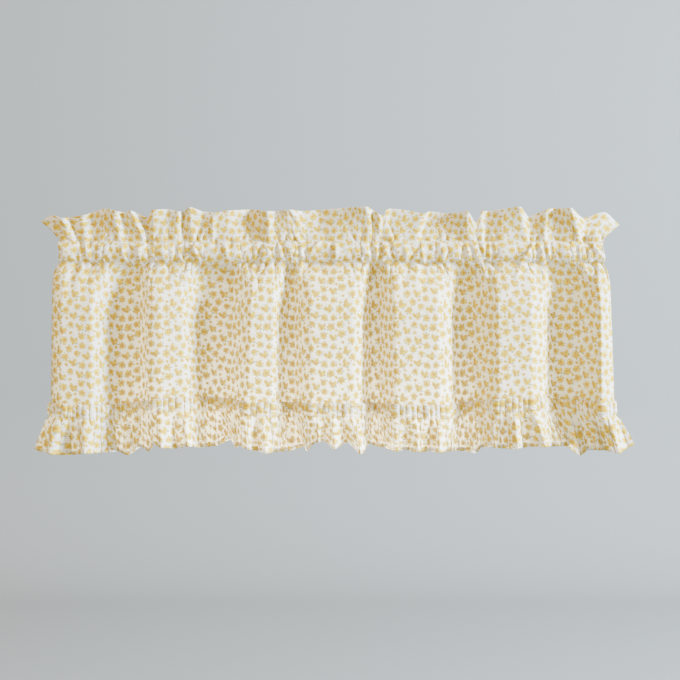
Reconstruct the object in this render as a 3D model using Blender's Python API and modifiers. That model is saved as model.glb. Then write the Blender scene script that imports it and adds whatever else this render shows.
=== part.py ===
"""Ruffled window valance: a rod-pocket heading with a stand-up frill, a gathered panel and a shirred ruffle.

Metres, +Z up. The front faces -Y and +X runs to the right as seen from the front.
The origin is the middle of the top edge, where the valance is held up.
Each cloth is a grid that is laid in its folds and then given its thickness.
"""

import math
from collections import namedtuple

import bmesh
import bpy
import numpy as np
from mathutils import Vector

MM = 0.001

# Driving dimensions, as drops below the highest point of the frill.
UPPER_STITCH_DROP = 51 * MM
LOWER_STITCH_DROP = 84 * MM
BAND_TOP_DROP = 296 * MM
BAND_HEIGHT = 22 * MM
HEM_DROP = 356 * MM

CLOTH_THICKNESS = 1.2 * MM
# The front of the heading and the panel each stop this far from the stitching that joins them.
SEAM_GAP = 0.5 * MM
LAYER_HALF_GAP = 0.8 * MM
BACK_HEM_DEPTH = 8 * MM
BACK_HEM_LOOSENESS = 0.5 * MM

# The pocket stands open, as round a rod.
POCKET_HALF_DEPTH = 11 * MM
POCKET_SWELL = 2.5 * MM
POCKET_ROUNDNESS = 2.4
POCKET_SQUARENESS = 0.75
STITCH_PUCKER = 2.4 * MM

# Below the pocket the small puckers give way to the panel's folds over this length.
PUCKER_FADE = 60 * MM

# The folds are turned over these lengths of cloth, and the rod evens out how it is bunched over a longer one.
FOLD_SOFTNESS = 13 * MM
BUNCH_SPREAD = 60 * MM

BAND_GAP = 0.9 * MM
BAND_RIB = 0.9 * MM
BAND_RIBS = 50

# The heading and the panel are one width of cloth, so they share their columns.
CLOTH_COLUMNS = 144
RUFFLE_COLUMNS = 200
BAND_EDGE_EASE = 0.35

# Each row of a table is one turn of the cloth, from the left edge to the right, in millimetres.
# forward is towards the viewer, and dip, lift and hang are heights.
FrillTurn = namedtuple("FrillTurn", "edge_x stitch_x forward dip")
PanelTurn = namedtuple("PanelTurn", "top_x foot_x forward")
FootLift = namedtuple("FootLift", "x lift")
RuffleTurn = namedtuple("RuffleTurn", "band_x hem_x forward hang")

FRILL_TURNS = (
    FrillTurn(-445, -415, -6, 20),
    FrillTurn(-426, -405, 2, 12),
    FrillTurn(-409, -396, 11, 17),
    FrillTurn(-401, -386, -8, 14),
    FrillTurn(-381, -376, 7, 13),
    FrillTurn(-364, -364, -6, 6),
    FrillTurn(-345, -343, 4, 2),
    FrillTurn(-328, -321, 12, 6),
    FrillTurn(-318, -311, 0, 7),
    FrillTurn(-303, -286, 11, 6),
    FrillTurn(-283, -278, -12, 14),
    FrillTurn(-272, -272, 12, 5),
    FrillTurn(-249, -252, 4, 3),
    FrillTurn(-231, -236, 9, 7),
    FrillTurn(-226, -225, -6, 6),
    FrillTurn(-215, -214, 9, 0),
    FrillTurn(-196, -202, 1, 6),
    FrillTurn(-177, -181, 5, 8),
    FrillTurn(-157, -158, 4, 5),
    FrillTurn(-125, -125, -12, 2),
    FrillTurn(-96, -95, 10, 6),
    FrillTurn(-87, -87, 1, 6),
    FrillTurn(-61, -46, 9, 4),
    FrillTurn(-46, -37, -2, 5),
    FrillTurn(-20, -20, -7, 3),
    FrillTurn(17, 15, 2, 1),
    FrillTurn(55, 61, 14, 0),
    FrillTurn(67, 68, 2, 6),
    FrillTurn(73, 74, 6, 11),
    FrillTurn(79, 79, -14, 13),
    FrillTurn(86, 85, 12, 2),
    FrillTurn(122, 113, 5, 6),
    FrillTurn(142, 130, 7, 10),
    FrillTurn(151, 137, -8, 5),
    FrillTurn(178, 176, -3, 9),
    FrillTurn(207, 211, 14, 7),
    FrillTurn(221, 221, -18, 23),
    FrillTurn(231, 231, 11, 6),
    FrillTurn(240, 240, 0, 5),
    FrillTurn(261, 262, 5, 3),
    FrillTurn(288, 297, 12, 0),
    FrillTurn(303, 309, -9, 12),
    FrillTurn(330, 328, 3, 3),
    FrillTurn(342, 339, -3, 1),
    FrillTurn(365, 376, 14, 2),
    FrillTurn(387, 389, -6, 15),
    FrillTurn(419, 406, -8, 6),
    FrillTurn(444, 417, -14, 25),
)

PANEL_TURNS = (
    PanelTurn(-425, -427, 2),
    PanelTurn(-408, -411, 19),
    PanelTurn(-362, -363, 22),
    PanelTurn(-339, -339, -8),
    PanelTurn(-325, -325, -15),
    PanelTurn(-292, -292, -12),
    PanelTurn(-272, -272, 23),
    PanelTurn(-260, -260, 25),
    PanelTurn(-228, -223, 16),
    PanelTurn(-207, -198, -20),
    PanelTurn(-192, -184, -25),
    PanelTurn(-150, -158, -20),
    PanelTurn(-129, -138, 12),
    PanelTurn(-119, -127, 25),
    PanelTurn(-86, -89, 21),
    PanelTurn(-72, -75, -8),
    PanelTurn(-66, -69, -16),
    PanelTurn(-56, -56, -14),
    PanelTurn(-44, -41, 14),
    PanelTurn(-32, -30, 25),
    PanelTurn(35, 32, 23),
    PanelTurn(46, 44, 14),
    PanelTurn(55, 54, -14),
    PanelTurn(63, 62, -24),
    PanelTurn(74, 74, -22),
    PanelTurn(85, 87, 6),
    PanelTurn(95, 98, 24),
    PanelTurn(161, 165, 23),
    PanelTurn(173, 178, 13),
    PanelTurn(186, 191, -12),
    PanelTurn(196, 201, -23),
    PanelTurn(219, 222, -20),
    PanelTurn(237, 240, 6),
    PanelTurn(251, 253, 24),
    PanelTurn(304, 304, 24),
    PanelTurn(320, 320, 12),
    PanelTurn(333, 333, -14),
    PanelTurn(344, 344, -24),
    PanelTurn(382, 383, -12),
    PanelTurn(398, 401, 8),
    PanelTurn(407, 409, 22),
    PanelTurn(417, 421, 14),
    PanelTurn(426, 433, 0),
)

FOOT_LIFTS = (
    FootLift(-430, 0),
    FootLift(-338, -5),
    FootLift(-262, 5),
    FootLift(-220, 8),
    FootLift(-148, 4),
    FootLift(-105, 0),
    FootLift(70, -2),
    FootLift(170, -4),
    FootLift(256, 5),
    FootLift(302, 8),
    FootLift(350, 3),
    FootLift(433, 1),
)

RUFFLE_TURNS = (
    RuffleTurn(-427, -453, 2, 12),
    RuffleTurn(-414, -424, 11, 18),
    RuffleTurn(-396, -395, -9, 21),
    RuffleTurn(-373, -371, 9, 17),
    RuffleTurn(-336, -328, -10, 18),
    RuffleTurn(-322, -312, 8, 22),
    RuffleTurn(-299, -293, -8, 12),
    RuffleTurn(-286, -278, 4, 16),
    RuffleTurn(-274, -268, -5, 5),
    RuffleTurn(-257, -254, 11, 8),
    RuffleTurn(-240, -233, -6, 11),
    RuffleTurn(-225, -216, 8, 7),
    RuffleTurn(-207, -197, -5, 11),
    RuffleTurn(-187, -177, 10, 8),
    RuffleTurn(-166, -156, -11, 1),
    RuffleTurn(-154, -147, 8, 10),
    RuffleTurn(-140, -139, -8, 8),
    RuffleTurn(-127, -125, 8, 11),
    RuffleTurn(-113, -111, -9, 15),
    RuffleTurn(-102, -98, 8, 17),
    RuffleTurn(-91, -85, -7, 16),
    RuffleTurn(-74, -64, 11, 15),
    RuffleTurn(-58, -43, -9, 11),
    RuffleTurn(-46, -37, 6, 15),
    RuffleTurn(-34, -29, -7, 6),
    RuffleTurn(-21, -18, 5, 0),
    RuffleTurn(-10, -6, -8, 2),
    RuffleTurn(2, 5, 9, 10),
    RuffleTurn(17, 23, -6, 2),
    RuffleTurn(35, 45, 10, 18),
    RuffleTurn(49, 58, -10, 6),
    RuffleTurn(63, 72, 6, 10),
    RuffleTurn(79, 83, -8, 12),
    RuffleTurn(96, 99, 8, 14),
    RuffleTurn(111, 116, -8, 14),
    RuffleTurn(130, 132, 7, 15),
    RuffleTurn(147, 150, -8, 15),
    RuffleTurn(161, 164, 8, 16),
    RuffleTurn(174, 177, -7, 16),
    RuffleTurn(188, 189, 7, 15),
    RuffleTurn(200, 206, -8, 18),
    RuffleTurn(214, 221, 9, 19),
    RuffleTurn(231, 233, -9, 11),
    RuffleTurn(246, 248, 7, 9),
    RuffleTurn(259, 263, -9, 11),
    RuffleTurn(275, 281, 9, 10),
    RuffleTurn(290, 302, -6, 8),
    RuffleTurn(304, 323, 10, 7),
    RuffleTurn(318, 336, -8, 9),
    RuffleTurn(332, 349, 9, 8),
    RuffleTurn(350, 365, -9, 11),
    RuffleTurn(366, 381, 10, 22),
    RuffleTurn(380, 396, -7, 16),
    RuffleTurn(393, 409, 6, 14),
    RuffleTurn(404, 420, -8, 15),
    RuffleTurn(415, 434, 11, 17),
    RuffleTurn(426, 450, -2, 12),
    RuffleTurn(434, 463, 2, 5),
)

# Where the grids have their rows, as drops below the frill's highest point.
HEADING_DROPS = tuple(d * MM for d in (0, 25, 51, 56, 67.5, 79, 84))
PANEL_DROPS = tuple(d * MM for d in (84, 92, 110, 132, 220, 315))
# The ruffle's rows, as drops below the band's top edge and shares of the skirt.
BAND_DROPS = tuple(d * MM for d in (0, 4, 19, 22))
SKIRT_SHARES = (0.3, 0.65, 1.0)
SKIRT_EASE = 0.8
# The hem keeps this share of the depth of the panel's folds, beside its own small ones.
HEM_DEPTH_SHARE = 0.8
FRILL_EASE = 1.3
FOOT_EASE = 1.5

BACK, FRONT = -1, 1
SAMPLE = 1 * MM
SHARE_STEP = 1.5e-3
DROP_STEP = 0.1 * MM


def smoothstep(share):
    """An ease from 0 to 1 that starts and ends level."""
    share = min(1.0, max(0.0, share))
    return share * share * (3 - 2 * share)


def column(table, name):
    """One named column of a table, in metres."""
    return np.array([getattr(row, name) for row in table]) * MM


def smooth_curve(places, values):
    """A function through values at rising places that never swings past a turn."""
    secants = np.diff(values) / np.diff(places)
    before, after = secants[:-1], secants[1:]
    same_way = before * after > 0
    total = np.where(same_way, before + after, 1)
    inner = np.where(same_way, 2 * before * after / total, 0)
    slopes = np.concatenate((secants[:1], inner, secants[-1:]))

    def value(place):
        i = int(np.clip(np.searchsorted(places, place) - 1, 0, len(places) - 2))
        width = places[i + 1] - places[i]
        t = min(1.0, max(0.0, (place - places[i]) / width))
        rise = values[i + 1] - values[i]
        start, end = slopes[i] * width, slopes[i + 1] * width
        return values[i] + t * (start + t * (3 * rise - 2 * start - end + t * (start + end - 2 * rise)))

    return value


def soften(values, length):
    """Evenly sampled values, averaged twice over a length, with their ends carried on straight."""
    width = int(length / SAMPLE) | 1
    kernel = np.convolve(np.ones(width), np.ones(width)) / width**2
    pad = len(kernel) // 2
    head = 2 * values[0] - values[pad:0:-1]
    tail = 2 * values[-1] - values[-2 : -pad - 2 : -1]
    return np.convolve(np.concatenate((head, values, tail)), kernel, "valid")


def mix(a, b, share):
    return a + (b - a) * share


class Drape:
    """The middle surface of the panel cloth, by its share of the width and its drop from the top."""

    def __init__(self):
        stitch_x = column(FRILL_TURNS, "stitch_x")
        self.frill_shift = smooth_curve(stitch_x, column(FRILL_TURNS, "edge_x") - stitch_x)
        self.frill_forward = smooth_curve(stitch_x, column(FRILL_TURNS, "forward"))
        self.dip = smooth_curve(stitch_x, column(FRILL_TURNS, "dip"))
        self.pucker = smooth_curve(stitch_x, np.sign([row.forward for row in FRILL_TURNS]))
        self.lift = smooth_curve(column(FOOT_LIFTS, "x"), column(FOOT_LIFTS, "lift"))

        turns = np.array(PANEL_TURNS) * MM
        runs = np.hypot(np.diff(turns[:, :2].mean(axis=1)), np.diff(turns[:, 2]))
        along = np.concatenate(([0], np.cumsum(runs)))
        samples = np.arange(0, along[-1], SAMPLE)
        path = [soften(np.interp(samples, along, values), FOLD_SOFTNESS) for values in turns.T]
        self.top_x, self.foot_x, self.forward = path
        steps = np.hypot(np.diff((self.top_x + self.foot_x) / 2), np.diff(self.forward))
        self.shares = np.concatenate(([0], np.cumsum(steps))) / steps.sum()
        bunched = soften(self.top_x, BUNCH_SPREAD)
        self.stitch_x = np.interp(bunched, (bunched[0], bunched[-1]), (stitch_x[0], stitch_x[-1]))

    def at(self, values, share):
        """The value at a share of the cloth's width, carried on straight past its edges."""
        inside = min(1.0, max(0.0, share))
        value = np.interp(inside, self.shares, values)
        edge = values[:2] if share < inside else values[-2:]
        return value + (share - inside) * (edge[1] - edge[0]) * len(self.shares)

    def share_at_foot(self, x):
        return np.interp(x, self.foot_x, self.shares)

    def point(self, share, drop):
        stitch_x = self.at(self.stitch_x, share)
        pucker = STITCH_PUCKER * self.pucker(stitch_x)
        if drop <= UPPER_STITCH_DROP:
            return self.frill_point(stitch_x, pucker, 1 - drop / UPPER_STITCH_DROP)
        if drop <= LOWER_STITCH_DROP:
            flat = 1 - pocket_opening(drop)
            return Vector((stitch_x, -pucker * flat, -drop))
        return self.panel_point(share, drop, stitch_x, pucker)

    def frill_point(self, stitch_x, pucker, height):
        ease = height**FRILL_EASE
        x = stitch_x + self.frill_shift(stitch_x) * ease
        forward = mix(pucker, self.frill_forward(stitch_x), ease)
        z = mix(-UPPER_STITCH_DROP, -self.dip(stitch_x), height)
        return Vector((x, -forward, z))

    def panel_point(self, share, drop, stitch_x, pucker):
        down = (drop - LOWER_STITCH_DROP) / (BAND_TOP_DROP - LOWER_STITCH_DROP)
        loose = smoothstep((drop - LOWER_STITCH_DROP) / PUCKER_FADE)
        hanging_x = mix(self.at(self.top_x, share), self.at(self.foot_x, share), down)
        x = mix(stitch_x, hanging_x, loose)
        forward = mix(pucker, self.at(self.forward, share), loose)
        lift = self.lift(x) * min(1.0, down) ** FOOT_EASE
        return Vector((x, -forward, lift - drop))

    def normal(self, share, drop):
        """The unit normal on the front side."""
        across = self.point(share + SHARE_STEP, drop) - self.point(share - SHARE_STEP, drop)
        down = self.point(share, drop + DROP_STEP) - self.point(share, drop - DROP_STEP)
        return across.cross(-down).normalized()


def pocket_opening(drop):
    """How far the pocket is open at a drop, from 0 at its two stitch lines to 1 in the middle."""
    middle = (UPPER_STITCH_DROP + LOWER_STITCH_DROP) / 2
    half_height = (LOWER_STITCH_DROP - UPPER_STITCH_DROP) / 2
    from_middle = min(1.0, abs(drop - middle) / half_height)
    return (1 - from_middle**POCKET_ROUNDNESS) ** POCKET_SQUARENESS


def layer_offset(drape, share, drop, side):
    """How far the heading's front or back layer lies from the middle surface."""
    if drop > LOWER_STITCH_DROP:
        return LAYER_HALF_GAP + BACK_HEM_LOOSENESS
    if drop <= UPPER_STITCH_DROP:
        return LAYER_HALF_GAP
    opening = pocket_opening(drop)
    swell = POCKET_SWELL * (1 + side * drape.pucker(drape.at(drape.stitch_x, share))) / 2
    return LAYER_HALF_GAP + opening * (POCKET_HALF_DEPTH - LAYER_HALF_GAP + swell)


def heading_rows():
    """(side, drop) of each row: up the back from its turned hem, over the frill's edge and down the front."""
    back = [(BACK, LOWER_STITCH_DROP + BACK_HEM_DEPTH)]
    back += [(BACK, drop) for drop in reversed(HEADING_DROPS)]
    front = [(FRONT, drop) for drop in HEADING_DROPS[:-1]]
    return [*back, *front, (FRONT, LOWER_STITCH_DROP - SEAM_GAP)]


def ruffle_curves(drape):
    """Where the ruffle's hem lies, by the panel's share behind its band."""
    shares = drape.share_at_foot(column(RUFFLE_TURNS, "band_x"))
    return {name: smooth_curve(shares, column(RUFFLE_TURNS, name)) for name in ("hem_x", "forward", "hang")}


def ruffle_point(drape, curves, share, band_drop, skirt_share):
    """A point of the ruffle: the band lies on the panel's face, and the skirt flares from it."""
    drop = BAND_TOP_DROP + band_drop
    rib = BAND_RIB * (1 - math.cos(2 * math.pi * BAND_RIBS * share))
    rib *= mix(BAND_EDGE_EASE, 1, min(1.0, band_drop / BAND_DROPS[1]))
    clear = CLOTH_THICKNESS + BAND_GAP + LAYER_HALF_GAP + rib
    seat = drape.point(share, drop) + drape.normal(share, drop) * clear
    ease = skirt_share**SKIRT_EASE
    x = mix(seat.x, curves["hem_x"](share), ease)
    y = mix(seat.y, seat.y * HEM_DEPTH_SHARE - curves["forward"](share), ease)
    z = mix(seat.z, -HEM_DROP - curves["hang"](share), skirt_share)
    return Vector((x, y, z))


def cloth_material(name, colour):
    material = bpy.data.materials.new(name)
    material.use_nodes = True
    shader = material.node_tree.nodes["Principled BSDF"]
    shader.inputs["Base Color"].default_value = (*colour, 1)
    shader.inputs["Roughness"].default_value = 0.85
    shader.inputs["Metallic"].default_value = 0.0
    return material


def cloth(name, collection, columns, rows, place, colour):
    """A grid of cloth with its columns across the width, each point put where place(share, row) says."""
    mesh = bpy.data.meshes.new(name)
    bm = bmesh.new()
    bmesh.ops.create_grid(bm, x_segments=columns, y_segments=rows - 1, size=0.5)
    for vertex in bm.verts:
        vertex.co = place(vertex.co.x + 0.5, round((vertex.co.y + 0.5) * (rows - 1)))
    bm.to_mesh(mesh)
    bm.free()
    mesh.materials.append(cloth_material(name, colour))
    mesh.shade_smooth()
    piece = bpy.data.objects.new(name, mesh)
    collection.objects.link(piece)
    thickness = piece.modifiers.new("Thickness", "SOLIDIFY")
    thickness.thickness = CLOTH_THICKNESS
    thickness.offset = 0
    thickness.use_even_offset = False
    return piece


def build_heading(drape, collection):
    """The folded-over top of the valance: a double frill above an open pocket for the rod."""
    rows = heading_rows()

    def place(share, row):
        side, drop = rows[row]
        offset = layer_offset(drape, share, drop, side)
        return drape.point(share, drop) + drape.normal(share, drop) * side * offset

    return cloth("heading", collection, CLOTH_COLUMNS, len(rows), place, (0.86, 0.78, 0.58))


def build_panel(drape, collection):
    """The gathered panel, from the pocket's lower stitching to under the ruffle's band."""
    drops = (PANEL_DROPS[0] + SEAM_GAP, *PANEL_DROPS[1:])

    def place(share, row):
        drop = drops[row]
        return drape.point(share, drop) + drape.normal(share, drop) * LAYER_HALF_GAP

    return cloth("panel", collection, CLOTH_COLUMNS, len(drops), place, (0.88, 0.81, 0.62))


def build_ruffle(drape, collection):
    """The separate strip, shirred into a band on the panel's foot and hanging free below it."""
    curves = ruffle_curves(drape)
    rows = [(drop, 0.0) for drop in BAND_DROPS]
    rows += [(BAND_HEIGHT, share) for share in SKIRT_SHARES]

    def place(share, row):
        return ruffle_point(drape, curves, share, *rows[row])

    return cloth("ruffle", collection, RUFFLE_COLUMNS, len(rows), place, (0.9, 0.76, 0.45))


def main():
    for old in list(bpy.data.objects):
        bpy.data.objects.remove(old)
    collection = bpy.data.collections.new("window_valance")
    bpy.context.scene.collection.children.link(collection)
    drape = Drape()
    build_heading(drape, collection)
    build_panel(drape, collection)
    build_ruffle(drape, collection)


main()
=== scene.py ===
"""Dressed scene of a ruffled window valance.

It makes the gathered, creased and stitched cloth of printed cotton, and a plain studio.
"""

import logging
import math
from collections.abc import Callable
from dataclasses import dataclass, field
from enum import Enum
from functools import reduce
from typing import NamedTuple

import bpy
import numpy as np
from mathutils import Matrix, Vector


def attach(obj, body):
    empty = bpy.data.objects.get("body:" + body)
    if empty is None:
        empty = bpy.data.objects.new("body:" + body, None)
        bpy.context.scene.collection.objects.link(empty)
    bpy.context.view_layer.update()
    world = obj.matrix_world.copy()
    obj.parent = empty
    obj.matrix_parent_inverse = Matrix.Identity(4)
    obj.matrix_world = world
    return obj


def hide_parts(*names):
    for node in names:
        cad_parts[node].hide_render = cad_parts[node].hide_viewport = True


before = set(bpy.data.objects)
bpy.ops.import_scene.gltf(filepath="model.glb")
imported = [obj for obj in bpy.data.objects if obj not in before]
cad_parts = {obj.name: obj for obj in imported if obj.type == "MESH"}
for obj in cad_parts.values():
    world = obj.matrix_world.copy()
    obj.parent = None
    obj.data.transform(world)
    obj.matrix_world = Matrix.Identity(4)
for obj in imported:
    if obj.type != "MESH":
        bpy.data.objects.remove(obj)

LOG = logging.getLogger("valance")
MM = 0.001
TINY = 1e-12
BAKE_MARGIN = 0.005
NOISE_ROUGHNESS = 0.55
FRONT, BACK = 1, -1
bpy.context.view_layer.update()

Array = np.ndarray
Material = bpy.types.Material
Piece = bpy.types.Object
Values = dict | None
Pair = tuple[float, float]
Triple = tuple[float, float, float]


class FrillTurn(NamedTuple):
    """One turn of the stand-up frill, in millimetres: where it is, and how far forward and low its edge is."""

    edge_x: float
    stitch_x: float
    forward: float
    dip: float


class PanelTurn(NamedTuple):
    """One turn of the panel's folds, in millimetres: where it is at its top and foot, and how far forward."""

    top_x: float
    foot_x: float
    forward: float


class FootLift(NamedTuple):
    """How far the panel's foot is drawn up at one place, in millimetres."""

    x: float
    lift: float


class RuffleTurn(NamedTuple):
    """One turn of the ruffle's skirt, in millimetres: where it is, and how far forward and low its hem is."""

    band_x: float
    hem_x: float
    forward: float
    hang: float


class Crease(NamedTuple):
    """A soft ridge, or a trough where its height is below nought, in millimetres from middle and top."""

    top_x: float
    foot_x: float
    height: float = -2.5
    width: float = 3
    top_drop: float = 54
    foot_drop: float = 84


FRILL_TURNS = tuple(
    FrillTurn(*row)
    for row in (
        (-445, -415, -6, 20), (-426, -405, 2, 12), (-409, -396, 11, 17), (-401, -386, -8, 14),
        (-381, -376, 7, 13), (-364, -364, -6, 6), (-345, -343, 4, 2), (-328, -321, 12, 6),
        (-318, -311, 0, 7), (-303, -286, 11, 6), (-283, -278, -12, 14), (-272, -272, 12, 5),
        (-249, -252, 4, 3), (-231, -236, 9, 7), (-226, -225, -6, 6), (-215, -214, 9, 0),
        (-196, -202, 1, 6), (-177, -181, 5, 8), (-157, -158, 4, 5), (-125, -125, -12, 2),
        (-96, -95, 10, 6), (-87, -87, 1, 6), (-61, -46, 9, 4), (-46, -37, -2, 5), (-20, -20, -7, 3),
        (17, 15, 2, 1), (55, 61, 14, 0), (63, 66, 2, 4), (73, 74, 12, 11), (79, 79, 5, 13),
        (84, 83, 7, 4), (90, 88, 3, 2), (122, 113, 5, 6), (142, 130, 7, 10), (151, 137, -8, 5),
        (178, 176, -3, 9), (207, 211, 14, 7), (221, 221, 3, 23), (231, 231, 6, 6), (239, 239, -3, 5),
        (261, 262, 5, 3), (288, 297, 12, 0), (303, 309, -9, 12), (330, 328, 3, 3), (342, 339, -3, 1),
        (365, 376, 14, 2), (387, 389, -6, 15), (419, 406, -8, 6), (444, 417, -14, 25),
    )
)

PANEL_TURNS = tuple(
    PanelTurn(*row)
    for row in (
        (-425, -427, 2), (-408, -411, 19), (-362, -363, 22), (-339, -339, -8), (-325, -325, -15),
        (-292, -292, -12), (-272, -272, 23), (-260, -260, 25), (-228, -223, 16), (-207, -198, -20),
        (-192, -184, -25), (-150, -158, -20), (-129, -138, 12), (-119, -127, 25), (-86, -89, 21),
        (-72, -75, -8), (-66, -69, -16), (-56, -56, -14), (-44, -41, 14), (-32, -30, 25), (35, 32, 23),
        (46, 44, 14), (55, 54, -14), (63, 62, -24), (74, 74, -22), (85, 87, 6), (95, 98, 24),
        (161, 165, 23), (173, 178, 13), (186, 191, -12), (196, 201, -23), (219, 222, -20),
        (237, 240, 6), (251, 253, 24), (304, 304, 24), (320, 320, 12), (333, 333, -14), (344, 344, -24),
        (382, 383, -12), (398, 401, 8), (407, 409, 22), (417, 421, 14), (426, 433, 0),
    )
)

FOOT_LIFTS = tuple(
    FootLift(*row)
    for row in (
        (-430, 0), (-338, -5), (-262, 5), (-220, 8), (-148, 4), (-105, 0), (70, -2), (170, -4),
        (256, 5), (302, 8), (350, 3), (433, 1),
    )
)

RUFFLE_TURNS = tuple(
    RuffleTurn(*row)
    for row in (
        (-427, -453, 2, 12), (-414, -424, 11, 18), (-396, -395, -9, 21), (-373, -371, 9, 17),
        (-336, -328, -10, 18), (-322, -312, 8, 22), (-299, -293, -8, 12), (-286, -278, 4, 16),
        (-274, -268, -5, 5), (-257, -254, 11, 8), (-240, -233, -6, 11), (-225, -216, 8, 7),
        (-207, -197, -5, 11), (-187, -177, 10, 8), (-166, -156, -11, 1), (-154, -147, 8, 10),
        (-140, -139, -8, 8), (-127, -125, 8, 11), (-113, -111, -9, 15), (-102, -98, 8, 17),
        (-91, -85, -7, 16), (-74, -64, 11, 15), (-58, -43, -9, 11), (-46, -37, 6, 15),
        (-34, -29, -7, 6), (-21, -18, 5, 0), (-10, -6, -8, 2), (2, 5, 9, 10), (17, 23, -6, 2),
        (35, 45, 10, 18), (49, 58, -10, 6), (63, 72, 6, 10), (79, 83, -8, 12), (96, 99, 8, 14),
        (111, 116, -8, 14), (130, 132, 7, 15), (147, 150, -8, 15), (161, 164, 8, 16),
        (174, 177, -7, 16), (188, 189, 7, 15), (200, 206, -8, 18), (214, 221, 9, 19),
        (231, 233, -9, 11), (246, 248, 7, 9), (259, 263, -9, 11), (275, 281, 9, 10), (290, 302, -6, 8),
        (304, 323, 10, 7), (318, 336, -8, 9), (332, 349, 9, 8), (350, 365, -9, 11), (366, 381, 10, 22),
        (380, 396, -7, 16), (393, 409, 6, 14), (404, 420, -8, 15), (415, 434, 11, 17),
        (426, 450, -2, 12), (434, 463, 2, 5),
    )
)

CREASES = tuple(
    Crease(*row)
    for row in (
        # Ridges of the frill, leaning with its facets.
        (-411, -397, 1.5, 4, 22, 49), (-330, -322, 1.5, 4, 8, 50), (-304, -284, 1.5, 4, 8, 50),
        (-196, -205, -1.5, 4, 12, 49), (-180, -181, 1.5, 3, 9, 49), (-124, -124, -2.0, 3, 5, 49),
        (-95, -95, 1.5, 3, 8, 49), (-62, -45, -1.5, 4, 5, 49), (235, 237, -2.5, 3, 6, 49),
        (297, 306, -1.5, 3, 5, 49), (333, 331, -1.5, 3, 3, 49), (372, 378, 1.5, 4, 2, 49),
        # Pits at the pocket's upper stitching.
        (-382, -381, -3.0, 3, 48, 61), (-369, -369, -3.0, 3, 49, 60), (-282, -281, -3.0, 3, 47, 58),
        (-275, -274, -3.0, 3, 48, 60), (-177, -176, -3.0, 3, 48, 60), (-153, -153, -3.0, 3, 48, 60),
        (389, 390, -4.0, 5, 40, 56),
        # Gathers across the pocket, from left to right.
        (-379, -375, -2.5, 3, 54, 98), (-318, -314, 2.0, 4, 54, 83), (-292, -292, 2.0, 4, 54, 83),
        (-254, -254, 1.5, 9, 52), (-237, -236), (-215, -213, -2.5, 3, 56), (-211, -199, 2.5),
        (-202, -197, -2.5, 3, 66, 86), (-162, -158, 2.0, 4, 52, 80), (-106, -112),
        (-92, -87, -2.5, 3, 60), (-83, -83), (-76, -67), (-49, -49), (-41, -41),
        (-14, -28, 2.5, 3, 50, 64), (1, 1), (7, 7, 2.0), (58, 64, -2.5, 4, 50), (73, 76, -3.0, 3, 50),
        (87, 95, -2.5, 4, 50), (112, 116, 2.0, 4), (130, 119, -2.5, 3, 64), (136, 142, 2.5),
        (167, 174, 2.0, 4), (202, 205), (211, 219, -3.0), (225, 233, -3.0), (237, 238, -3.0),
        (245, 248), (309, 291, 3.0, 3, 54, 82), (311, 317), (324, 330, -3.0), (333, 338),
        (373, 376, -2.0), (395, 411, 2.0, 3, 54, 72),
        # Where the gathers open out into the panel.
        (-229, -226, 3.0, 8, 78, 112), (-112, -116, -2.0, 4, 84, 108), (-66, -60, -2.0, 4, 84, 116),
        (66, 66, -2.0, 4, 84, 118), (119, 108, -1.5, 5, 84, 124), (226, 229, -2.0, 4, 84, 120),
        (292, 281, 2.0, 5, 82, 112), (334, 338, -2.0, 4, 84, 112),
        # Sharper lines along the panel's folds.
        (-276, -277, 1.7, 2.5, 92, 284), (-71, -68, 1.7, 2.5, 96, 284), (55, 53, 1.7, 2.5, 96, 284),
        (180, 182, 1.7, 2.5, 96, 284), (325, 329, 1.7, 2.5, 96, 284),
    )
)


def smooth_curve(places: Array, values: Array) -> Callable[[Array], Array]:
    """A function through values at rising places that never swings past a turn.

    Args:
        places: Rising places.
        values: The value at each place.

    Returns:
        A function that takes an array of places and gives the values there.
    """
    secants = np.diff(values) / np.diff(places)
    before, after = secants[:-1], secants[1:]
    same_way = before * after > 0
    total = np.where(same_way, before + after, 1)
    inner = np.where(same_way, 2 * before * after / total, 0)
    slopes = np.concatenate((secants[:1], inner, secants[-1:]))

    def value(place: Array) -> Array:
        """The curve's value at each place."""
        i = np.clip(np.searchsorted(places, place) - 1, 0, len(places) - 2)
        width = places[i + 1] - places[i]
        t = np.clip((place - places[i]) / width, 0, 1)
        rise = values[i + 1] - values[i]
        start, end = slopes[i] * width, slopes[i + 1] * width
        return values[i] + t * (start + t * (3 * rise - 2 * start - end + t * (start + end - 2 * rise)))

    return value


def smoothstep(share: Array) -> Array:
    """An ease from 0 to 1 that starts and ends level."""
    share = np.clip(share, 0, 1)
    return share * share * (3 - 2 * share)


def mix(a: Array, b: Array, share: Array) -> Array:
    """The value between a and b at a share of the way."""
    return a + (b - a) * share


def soften(values: Array, length: float, sample: float) -> Array:
    """Evenly sampled values, averaged twice over a length, with their ends carried on straight.

    Args:
        values: Values sampled evenly.
        length: The length of each averaging, in metres.
        sample: The distance between two samples, in metres.

    Returns:
        As many values, softened.
    """
    width = int(length / sample) | 1
    kernel = np.convolve(np.ones(width), np.ones(width)) / width**2
    pad = len(kernel) // 2
    head = 2 * values[0] - values[pad:0:-1]
    tail = 2 * values[-1] - values[-2 : -pad - 2 : -1]
    return np.convolve(np.concatenate((head, values, tail)), kernel, "valid")


def unit(vectors: Array) -> Array:
    """Vectors made one long."""
    return vectors / (np.linalg.norm(vectors, axis=-1, keepdims=True) + TINY)


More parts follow.
